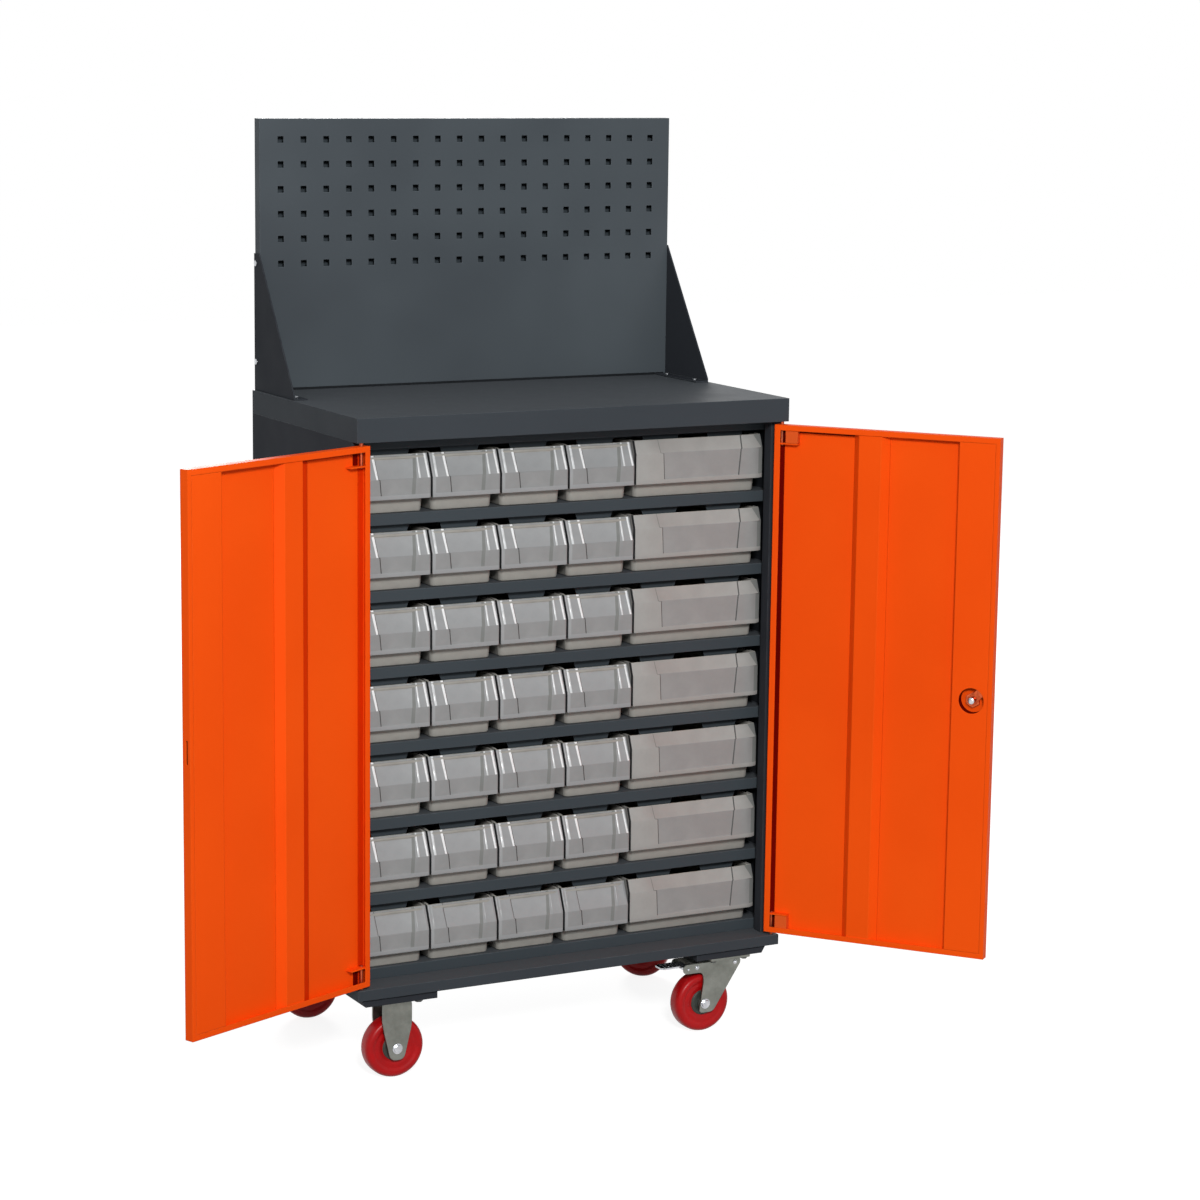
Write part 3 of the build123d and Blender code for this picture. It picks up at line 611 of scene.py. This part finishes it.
CROWN = [(-22 - TRAIL, -19.5), (20, -19.5), (27, -12), (27, 12), (20, 19.5), (-22 - TRAIL, 19.5)]
PEDAL = [(-38, -13), (-43.5, -9), (-43.5, 9), (-38, 13), (3, 13), (3, -13)]
SLEEVE = [(2.1, -14), (4.8, -14), (4.8, 14), (2.1, 14)]


def shifted(outline, a, b=0.0):
    return [(p + a, q + b) for p, q in outline]


def bolt(b, at, direction, radius, height, index=1, hexagon=True):
    """A bolt head, a hexagon or a dome, on a thin washer."""
    washer = [(TIP, 0.0), (radius * 1.35, 0.0), (radius * 1.35, WASHER), (TIP, WASHER)]
    b.lathe(washer, at, direction, 24, index=index)
    if hexagon:
        head = [(radius * 1.1, WASHER), (radius * 1.1, height - 0.7), (radius * 0.92, height)]
    else:
        head = [(radius, WASHER), (radius * 0.97, height * 0.55), (radius * 0.7, height * 0.88),
                (radius * 0.3, height)]
    b.lathe([(TIP, WASHER), *head, (TIP, height)], at, direction, 6 if hexagon else 24, index=index)


def cross_pin(b, x, y, z, radius, half):
    """A pin along y, closed at both ends."""
    profile = [(TIP, -half), (radius, -half), (radius, half), (TIP, half)]
    b.lathe(profile, (x, y, z), (0, 1, 0), 20, index=1)


def fork_sides(b, outline, y):
    for side in (-1, 1):
        b.plate(outline, 1, y + side * CHEEK_IN, y + side * CHEEK_OUT)


def axle(b, x, y):
    for side in (-1, 1):
        bolt(b, (x, y + side * CHEEK_OUT, AXLE_Z), (0, side, 0), AXLE_HEAD_R, AXLE_HEAD)
    cross_pin(b, x, y, AXLE_Z, AXLE_R, CHEEK_OUT)


b = Build()
for y in (-CASTER_Y, CASTER_Y):
    fork_sides(b, rounded(shifted(FIXED_LEG, FIXED_X), FIXED_CUT), y)
    bridge = rect(FIXED_X - BRIDGE_X, FIXED_X + BRIDGE_X, y - BRIDGE_Y, y + BRIDGE_Y)
    b.plate(bridge, 2, BRIDGE_LOW, MOUNT_TOP)
    axle(b, FIXED_X, y)
    mount = rect(SWIVEL_X - MOUNT_X, SWIVEL_X + MOUNT_X, y - MOUNT_Y, y + MOUNT_Y)
    b.plate(rounded(mount, MOUNT_CUT), 2, MOUNT_LOW, MOUNT_TOP)
    b.lathe(BEARING, (SWIVEL_X, y, 0), (0, 0, 1), 48)
    b.lathe(KING_NUT, (SWIVEL_X, y, 0), (0, 0, 1), 32, index=2)
    for dx in (-MOUNT_BOLT_X, MOUNT_BOLT_X):
        for dy in (-MOUNT_BOLT_Y, MOUNT_BOLT_Y):
            at = (SWIVEL_X + dx, y + dy, MOUNT_LOW)
            bolt(b, at, (0, 0, -1), MOUNT_BOLT_R, MOUNT_BOLT, 2)
    for dy in (-NUT_Y, NUT_Y):
        bolt(b, (FIXED_X + NUT_X, y + dy, MOUNT_TOP), (0, 0, -1), NUT_R, NUT, 2)
b.done("caster_mountings", (ZINC, BRIGHT, DARK_BOLT), "cabinet", "caster_brackets", bevel=0.7)


def swivel_fork(name, y, body, node, turn=None):
    b = Build()
    fork_sides(b, rounded(shifted(SWIVEL_LEG, SWIVEL_X), SWIVEL_CUT), y)
    crown = rounded(shifted(CROWN, SWIVEL_X, y), CROWN_CUT)
    b.plate(crown, 2, CROWN_TOP - CROWN_SHEET, CROWN_TOP)
    axle(b, SWIVEL_X - TRAIL, y)
    cross_pin(b, PEDAL_PIN_X, y, PEDAL_PIN_Z, PEDAL_PIN_R, PEDAL_PIN_HALF)
    for dx, z in STUDS:
        bolt(b, (SWIVEL_X + dx, y - CHEEK_OUT, z), (0, -1, 0), STUD_R, STUD, hexagon=False)
    if turn:
        b.turn(*turn)
    b.done(name, (ZINC, BRIGHT), body, node, bevel=0.7)


swivel_fork("fork_front", -CASTER_Y, "front_swivel", "swivel_fork_front")
swivel_fork("fork_rear", CASTER_Y, "rear_swivel", "swivel_fork_rear", REAR_SPIN)

# The brake pedal: a sleeve on its pin, a plate and four ridges
b = Build()
b.lathe(SLEEVE, (PEDAL_PIN_X, -CASTER_Y, PEDAL_PIN_Z), (0, 1, 0), 24)
b.plate(shifted(PEDAL, PEDAL_PIN_X, -CASTER_Y), 2, PEDAL_LOW, PEDAL_TOP)
for k in range(RIDGES):
    x = PEDAL_PIN_X - RIDGE_FROM - k * RIDGE_STEP
    ridge = rect(x, x + RIDGE_W, -CASTER_Y - RIDGE_Y, -CASTER_Y + RIDGE_Y)
    b.plate(ridge, 2, PEDAL_TOP - RIDGE_SUNK, PEDAL_TOP + RIDGE_PROUD)
b.done("pedal", (BRIGHT,), "brake_pedal", "brake_pedal", bevel=0.5)


# Carried-over solids
DRESS = (
    (SLATE, ("shelves", "pegboard_back")),
    (SLATE_BOARD, ("pegboard",)),
    (SLATE_SIDE_SHADE, ("gussets", "carcass_panels", "caster_channels")),
    (SLATE_TOP, ("worktop", "base_pan")),
    (ORANGE, ("door_left", "door_left_stiffeners", "door_right", "door_right_stiffeners")),
    (BRIGHT, ("screws",)),
    (PIN, ("door_left_pins", "door_right_pins")),
    (CHROME_REFLECTION, ("lock_cylinder", "lock_cam")))
for material, names in DRESS:
    for name in names:
        slots = nodes[name].data.materials
        slots.clear()
        slots.append(material)


# A dark strip of painted shade along the foot of the panel, on its front, in its joint with the
# worktop
SHADE_STRIP_END, SHADE_STRIP_LOW, SHADE_STRIP_HIGH, SHADE_STRIP_PROUD, SHADE_STRIP_SUNK = 4, 0.3, 3.6, 0.9, 0.1
(left, face, foot), (right, _, _) = ([v / MM for v in corner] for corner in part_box("pegboard"))
b = Build()
outline = rect(left + SHADE_STRIP_END, right - SHADE_STRIP_END, foot + SHADE_STRIP_LOW, foot + SHADE_STRIP_HIGH)
b.plate(outline, 1, face - SHADE_STRIP_PROUD, face + SHADE_STRIP_SUNK)
b.done("panel_foot_shade_strip", (JOINT_SHADE,), "cabinet", bevel=0.3)


# Small pieces of the doors, drawn closed and then turned open about the pin. A place across a
# door is its distance from the hinge edge, and side is -1 for the left door and 1 for the right.
# Most of these pieces are thin plates of painted shade on the doors' skins
WEB_FROM, WEB_TO, WEB_FOLD = 17.5, 37.2, 36.6
WEB_BACK, WEB_FACE = -191.4, -190.1
FOLD_HALF = 0.6                          # half the thickness of a web's lip
WEB_START, HOLLOW_START = 1.3, 1.4       # how far from their pin bracket's middle they start
WEB_CUT = 1.2                            # how far a web's corners are rounded
HOLLOW_FROM, HOLLOW_LEFT, HOLLOW_RIGHT = 13.2, 23.0, 17.2
HINGE_FROM, HINGE_TO = 1.8, 12.8         # the strip behind the pins
TOP_FROM = 24.0                          # the strip under the top wall, from here to the rib
RIB_SHADE, RIB_START = 117.0, 126.5      # the strip beside the rib, and the rib's start
TOP_SHADE = 12.2                         # from the door's top to the top strip's lower edge
SKIN_FROM, SKIN_TO = 0.1, 0.6            # a plate's two faces, from the skin's inner face
OFF_SKIN = 0.3                           # from the skin's inner face to a web's lip or the well
STRIP_GAP = 0.2                          # between two strips


def web(b, side, z, up):
    """The upright web of a pin bracket, from its tongue to the end wall, with a folded lip."""
    low, high = sorted((z + up * WEB_START, z + up * (BRACKET_Z - END_WALL)))
    left, right = sorted((side * (HALF_W - WEB_FROM), side * (HALF_W - WEB_TO)))
    b.plate(rounded(rect(left, right, low, high), WEB_CUT, 2), 1, WEB_BACK, WEB_FACE)
    fold = side * (HALF_W - WEB_FOLD)
    b.plate(rect(fold - FOLD_HALF, fold + FOLD_HALF, low, high), 1, SKIN_IN + OFF_SKIN, WEB_BACK)


def skin_plate(b, side, s0, s1, z0, z1):
    """A thin plate on the inner face of a door's skin, as painted shade."""
    a, c = sorted((side * (HALF_W - s0), side * (HALF_W - s1)))
    b.plate(rect(a, c, z0, z1), 1, SKIN_IN + SKIN_FROM, SKIN_IN + SKIN_TO)


def door_pieces(hand, side, angle, hollow_to, shade, webbed):
    """Plates of painted shade in the hollows by the pins and in strips on the skin, and the
    brackets' webs.

    A door without webs, seen at a slant, has a strip of painted shade beside its rib instead."""
    hollows, webs, strips = Build(), Build(), Build()
    inner_low, inner_high = DOOR_LOW + END_WALL, DOOR_HIGH - END_WALL
    for z, up in ((DOOR_HIGH - BRACKET_Z, 1), (DOOR_LOW + BRACKET_Z, -1)):
        ends = sorted((z + up * HOLLOW_START, z + up * (BRACKET_Z - END_WALL)))
        skin_plate(hollows, side, HOLLOW_FROM, hollow_to, *ends)
        if webbed:
            web(webs, side, z, up)
    skin_plate(strips, side, HINGE_FROM, HINGE_TO, inner_low, inner_high)
    skin_plate(strips, side, TOP_FROM, RIB_START, DOOR_HIGH - TOP_SHADE, inner_high)
    if not webbed:
        shade_top = DOOR_HIGH - TOP_SHADE - STRIP_GAP
        skin_plate(strips, side, RIB_SHADE, RIB_START, inner_low, shade_top)
    for b in (hollows, webs, strips):
        b.turn(side * PIN_X, PIN_Y, side * angle)
    body = f"{hand}_door"
    hollows.done(f"hinge_hollow_shade_{hand}", (GROOVE,), body, bevel=0.15)
    strips.done(f"groove_shade_strips_{hand}", (shade,), body, bevel=0.15)
    if webbed:
        webs.done(f"bracket_webs_{hand}", (ORANGE_WEB_SHADE,), body, bevel=0.3)


door_pieces("left", -1, LEFT_OPEN, HOLLOW_LEFT, SOFT_GROOVE_SHADE, False)
door_pieces("right", 1, RIGHT_OPEN, HOLLOW_RIGHT, GROOVE, True)

# The lock hole's wall, dark red as painted shade, and the nut that holds the cam, as (radius,
# depth)
WELL = [(19.6, 0.0), (20.6, 0.0), (20.6, 11.4), (19.6, 11.4), (19.6, 0.0)]
CAM_NUT = [(TIP, 0.0), (5.2, 0.0), (5.2, 0.5), (4.4, 1.2), (2.4, 1.8), (TIP, 2.0)]
CAM_FACE = -188.5

b = Build()
b.lathe(WELL, (LOCK_X, SKIN_IN + OFF_SKIN, LOCK_Z), (0, 1, 0), 48)
b.turn(PIN_X, PIN_Y, RIGHT_OPEN)
b.done("lock_well_shade", (GROOVE,), "right_door", bevel=0.1)

b = Build()
b.lathe(CAM_NUT, (LOCK_X, CAM_FACE, LOCK_Z), (0, 1, 0), 32)
b.turn(PIN_X, PIN_Y, RIGHT_OPEN)
b.done("cam_nut", (BRIGHT,), "lock_cam")


# Floor, lights and camera, in metres
GLOW = 0.88          # how bright the floor is to the camera
AMBIENT = 0.41       # how bright the world is to the object
FLOOR_GREY = 0.3     # what the floor sends back to the object
FLOOR_HALF, FLOOR_Z = 12, -0.0005
WHITE = (1, 1, 1, 1)
LENS, SENSOR = 96.756, 36
CAMERA_AT = (-2.22097, -4.46096, 1.56432)
YAW, PITCH_DOWN, ROLL = radians(27.933), radians(9.983), radians(0.741)


def seen_direct(tree):
    """1 for rays from the camera, a mirror or glass, and 0 for light that lands on the object."""
    path = tree.nodes.new("ShaderNodeLightPath")
    total = path.outputs["Is Camera Ray"]
    for name in ("Is Glossy Ray", "Is Transmission Ray"):
        both = tree.nodes.new("ShaderNodeMath")
        both.operation = "ADD"
        both.use_clamp = True
        tree.links.new(total, both.inputs[0])
        tree.links.new(path.outputs[name], both.inputs[1])
        total = both.outputs[0]
    return total


def choose(tree, lands, seen, output):
    """Links one shader for light that lands on the object, and another for what is seen."""
    mix = tree.nodes.new("ShaderNodeMixShader")
    tree.links.new(seen_direct(tree), mix.inputs[0])
    tree.links.new(lands, mix.inputs[1])
    tree.links.new(seen, mix.inputs[2])
    tree.links.new(mix.outputs[0], tree.nodes[output].inputs["Surface"])


def floor_material():
    """Nearly white to the camera, with the object's shadow, and a plain grey to the object."""
    m = Nodes("white_floor")
    glow = m.add("ShaderNodeEmission")
    glow.inputs["Color"].default_value = WHITE
    glow.inputs["Strength"].default_value = GLOW
    tone = m.mix(m.span(m.noise(3, 3), 0.3, 0.7), (0.30, 0.30, 0.30), (0.32, 0.32, 0.32))
    m.link(tone, m.bsdf.inputs["Base Color"])
    m.set(rough=0.9, spec=0.0)
    both = m.add("ShaderNodeAddShader")
    m.link(glow.outputs[0], both.inputs[0])
    m.link(m.bsdf.outputs[0], both.inputs[1])
    plain = m.add("ShaderNodeBsdfDiffuse")
    plain.inputs["Color"].default_value = (FLOOR_GREY, FLOOR_GREY, FLOOR_GREY, 1)
    choose(m.tree, plain.outputs[0], both.outputs[0], "Material Output")
    return m.mat


floor_mesh = bpy.data.meshes.new("floor")
corners = [(x, y, FLOOR_Z) for x, y in rect(-FLOOR_HALF, FLOOR_HALF, -FLOOR_HALF, FLOOR_HALF)]
floor_mesh.from_pydata(corners, [], [(0, 1, 2, 3)])
floor_mesh.materials.append(floor_material())
floor = bpy.data.objects.new("floor", floor_mesh)
bpy.context.scene.collection.objects.link(floor)

world = bpy.data.worlds.new("studio")
bpy.context.scene.world = world
world.use_nodes = True
sky = world.node_tree.nodes["Background"]
sky.inputs["Color"].default_value = WHITE
sky.inputs["Strength"].default_value = AMBIENT
backdrop = world.node_tree.nodes.new("ShaderNodeBackground")
backdrop.inputs["Color"].default_value = WHITE
backdrop.inputs["Strength"].default_value = 1.0
choose(world.node_tree, sky.outputs[0], backdrop.outputs[0], "World Output")


def area(name, at, target, size, power):
    """A rectangular lamp that points at a target, its power in watts."""
    lamp = bpy.data.lights.new(name, "AREA")
    lamp.shape = "RECTANGLE"
    lamp.size, lamp.size_y = size
    lamp.energy = power
    obj = bpy.data.objects.new(name, lamp)
    obj.location = at
    obj.rotation_euler = (Vector(target) - Vector(at)).to_track_quat("-Z", "Y").to_euler()
    bpy.context.scene.collection.objects.link(obj)


area("key", (-1.75, -4.7, 2.9), (0, 0, 0.65), (0.8, 0.8), 203)
area("fill", (3.4, -3.0, 2.2), (0, 0, 0.8), (2.0, 2.4), 8)
area("back", (1.6, 4.8, 2.5), (0, 0, 0.7), (1.6, 1.6), 150)

camera_data = bpy.data.cameras.new("camera")
camera_data.sensor_width = SENSOR
camera_data.lens = LENS
camera = bpy.data.objects.new("camera", camera_data)
level = cos(PITCH_DOWN)
ahead = Vector((sin(YAW) * level, cos(YAW) * level, -sin(PITCH_DOWN)))
right = Vector((cos(YAW), -sin(YAW), 0))
up = right.cross(ahead)
right_rolled = right * cos(ROLL) + up * sin(ROLL)
up_rolled = up * cos(ROLL) - right * sin(ROLL)
axes = Matrix((right_rolled, up_rolled, -ahead)).transposed().to_4x4()
camera.matrix_world = Matrix.Translation(CAMERA_AT) @ axes
bpy.context.scene.collection.objects.link(camera)
bpy.context.scene.camera = camera
bpy.context.scene.view_settings.view_transform = "Standard"
